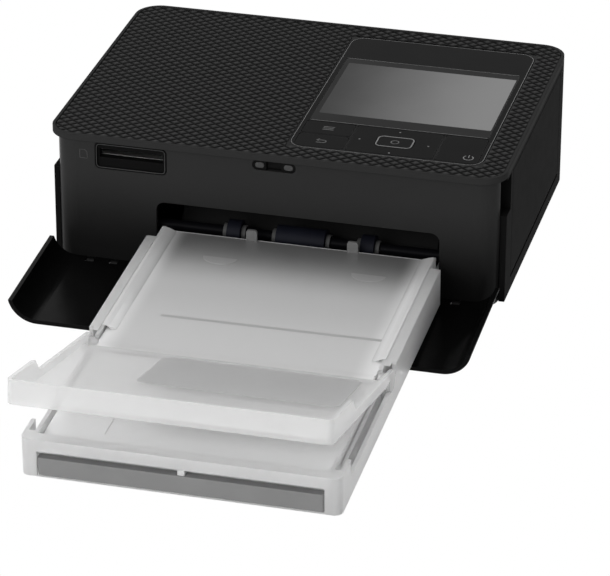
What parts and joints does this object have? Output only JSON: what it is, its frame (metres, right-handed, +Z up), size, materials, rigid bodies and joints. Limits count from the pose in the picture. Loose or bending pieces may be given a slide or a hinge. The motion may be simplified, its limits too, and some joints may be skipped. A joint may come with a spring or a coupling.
{
  "type": "compact photo printer",
  "caption": "Compact desktop photo printer with a flat control panel, hinged front cover, side ribbon door and a front paper cassette with a raised catch tray.",
  "frame": {"origin": "on the desk, under the middle of the whole object's bounding box", "axes": "+X to the right as seen from the front, +Y to the back, +Z up"},
  "size_m": [0.1822, 0.3124, 0.0576],
  "materials": {
    "case": "satin, finely grained",
    "top": "moulded pattern of small pyramids",
    "panel": "gloss",
    "glass": "smoked",
    "frosted": "frosted, translucent",
    "frosted_bar": "satin",
    "clear": "clear ends",
    "paper": "coated paper, white",
    "steel": "bright",
    "aluminium": "extruded",
    "rubber": "matt",
    "tyre_blue": "matt, dark navy",
    "inner_grey": "moulded",
    "inner_black": "moulded",
    "gear": "acetal",
    "film": "wound film",
    "board": "solder mask"
  },
  "bodies": {
    "housing": {"main_case": "case", "top_cover": "top", "front_shell": "case", "base_tray": "case", "cover_hinge_pins": "steel", "rubber_feet": "rubber", "case_screws": "steel", "control_panel": "panel", "display_glass": "glass", "screen_module": "inner_grey", "key_board": "board", "card_slot_frame": "case", "card_reader": "steel", "cover_catch": "clear", "left_side_plate": "steel", "right_side_plate": "steel", "cross_stay": "steel", "front_paper_guide": "inner_black", "rear_paper_guide": "inner_black", "thermal_head": "inner_black", "head_heat_sink": "aluminium", "feed_motor": "steel", "motor_bracket": "steel", "main_board": "board", "socket_board": "board", "power_inlet": "inner_black", "small_socket": "steel", "wide_socket": "steel"},
    "front_cover": {"front_cover": "case"},
    "side_door": {"side_door": "case"},
    "cassette": {"cassette_base": "frosted", "front_deck": "frosted", "front_bar": "frosted_bar", "lift_plate": "steel", "paper_stack": "paper"},
    "cassette_lid": {"cassette_lid": "frosted"},
    "catch_tray": {"catch_tray": "frosted"},
    "menu_button": {"menu_button": "panel"},
    "back_button": {"back_button": "panel"},
    "ok_button": {"ok_button": "panel"},
    "power_button": {"power_button": "panel"},
    "direction_pad": {"direction_pad": "panel"},
    "platen": {"platen_roller": "rubber", "platen_gear": "gear"},
    "capstan": {"capstan_roller": "steel", "capstan_gear": "gear"},
    "pinch": {"pinch_roller": "inner_grey"},
    "pickup": {"pickup_shaft": "inner_grey", "middle_pickup_tyre": "tyre_blue", "outer_pickup_tyres": "tyre_blue", "pickup_gear": "gear"},
    "head_idler": {"head_idler": "gear"},
    "pickup_idler": {"pickup_idler": "gear"},
    "motor_rotor": {"motor_pinion": "gear"},
    "ribbon": {"ribbon_case": "inner_grey", "ribbon_film": "film"},
    "supply_spool": {"supply_spool": "film"},
    "takeup_spool": {"takeup_spool": "film"},
    "ribbon_lever": {"ribbon_lever": "gear"}
  },
  "joints": [
    {"name": "cassette_slide", "type": "slide", "parent": "housing", "child": "cassette", "axis": [0, -0.9659, 0.2588], "range_m": [0, 0.32]},
    {"name": "front_cover_hinge", "type": "hinge", "parent": "housing", "child": "front_cover", "pos_m": [0, 0.02324, 0.003], "axis": [-1, 0, 0], "range_deg": [0, 92.7]},
    {"name": "cassette_lid_hinge", "type": "hinge", "parent": "cassette", "child": "cassette_lid", "pos_m": [0.01055, -0.06503, 0.01507], "axis": [1, 0, 0], "range_deg": [0, 40]},
    {"name": "catch_tray_hinge", "type": "hinge", "parent": "cassette", "child": "catch_tray", "pos_m": [0.01055, -0.06503, 0.01507], "axis": [-1, 0, 0], "range_deg": [0, 85]},
    {"name": "side_door_hinge", "type": "hinge", "parent": "housing", "child": "side_door", "pos_m": [0.0899, 0.09124, 0.00855], "axis": [0, 1, 0], "range_deg": [0, 90]},
    {"name": "ribbon_slide", "type": "slide", "parent": "housing", "child": "ribbon", "axis": [1, 0, 0], "range_m": [0, 0.0315]},
    {"name": "takeup_spool_spin", "type": "hinge", "parent": "ribbon", "child": "takeup_spool", "pos_m": [0.01025, 0.10824, 0.0385], "axis": [1, 0, 0], "continuous": true},
    {"name": "supply_spool_spin", "type": "hinge", "parent": "ribbon", "child": "supply_spool", "pos_m": [0.01025, 0.06774, 0.0385], "axis": [1, 0, 0], "continuous": true},
    {"name": "menu_button_press", "type": "slide", "parent": "housing", "child": "menu_button", "axis": [0, 0, -1], "range_m": [0, 0.0004], "stiffness_N_per_m": 800},
    {"name": "back_button_press", "type": "slide", "parent": "housing", "child": "back_button", "axis": [0, 0, -1], "range_m": [0, 0.0004], "stiffness_N_per_m": 800},
    {"name": "ok_button_press", "type": "slide", "parent": "housing", "child": "ok_button", "axis": [0, 0, -1], "range_m": [0, 0.0004], "stiffness_N_per_m": 800},
    {"name": "power_button_press", "type": "slide", "parent": "housing", "child": "power_button", "axis": [0, 0, -1], "range_m": [0, 0.0004], "stiffness_N_per_m": 800},
    {"name": "direction_pad_tilt", "type": "hinge", "parent": "housing", "child": "direction_pad", "pos_m": [0.043, 0.04854, 0.0565], "axis": [1, 0, 0], "range_deg": [-2, 2], "stiffness_Nm_per_rad": 0.08},
    {"name": "platen_spin", "type": "hinge", "parent": "housing", "child": "platen", "pos_m": [0.00975, 0.08524, 0.01982], "axis": [1, 0, 0], "continuous": true},
    {"name": "head_idler_spin", "type": "hinge", "parent": "housing", "child": "head_idler", "pos_m": [-0.0548, 0.07147, 0.02404], "axis": [1, 0, 0], "continuous": true},
    {"name": "capstan_spin", "type": "hinge", "parent": "housing", "child": "capstan", "pos_m": [0.00975, 0.05724, 0.02183], "axis": [1, 0, 0], "continuous": true},
    {"name": "pickup_idler_spin", "type": "hinge", "parent": "housing", "child": "pickup_idler", "pos_m": [-0.0548, 0.0429, 0.02312], "axis": [1, 0, 0], "continuous": true},
    {"name": "pickup_spin", "type": "hinge", "parent": "housing", "child": "pickup", "pos_m": [0.00975, 0.03274, 0.0184], "axis": [1, 0, 0], "continuous": true},
    {"name": "pinch_spin", "type": "hinge", "parent": "housing", "child": "pinch", "pos_m": [0.00975, 0.05424, 0.02917], "axis": [1, 0, 0], "continuous": true},
    {"name": "motor_spin", "type": "hinge", "parent": "housing", "child": "motor_rotor", "pos_m": [-0.06, 0.07147, 0.03444], "axis": [1, 0, 0], "continuous": true},
    {"name": "ribbon_lever_hinge", "type": "hinge", "parent": "housing", "child": "ribbon_lever", "pos_m": [0.0721, 0.12544, 0.0385], "axis": [1, 0, 0], "range_deg": [0, 25], "stiffness_Nm_per_rad": 0.002}
  ],
  "couplings": [
    {"joint": "front_cover_hinge", "follows": "cassette_slide", "rad_per_m": 5.055},
    {"joint": "ribbon_slide", "follows": "side_door_hinge", "m_per_rad": 0.02},
    {"joint": "supply_spool_spin", "follows": "takeup_spool_spin", "ratio": 1},
    {"joint": "head_idler_spin", "follows": "platen_spin", "ratio": -1.25},
    {"joint": "capstan_spin", "follows": "platen_spin", "ratio": 1},
    {"joint": "pickup_idler_spin", "follows": "platen_spin", "ratio": -1.25},
    {"joint": "pickup_spin", "follows": "platen_spin", "ratio": 1.6667},
    {"joint": "pinch_spin", "follows": "platen_spin", "ratio": -1.3333},
    {"joint": "motor_spin", "follows": "platen_spin", "ratio": 2}
  ]
}
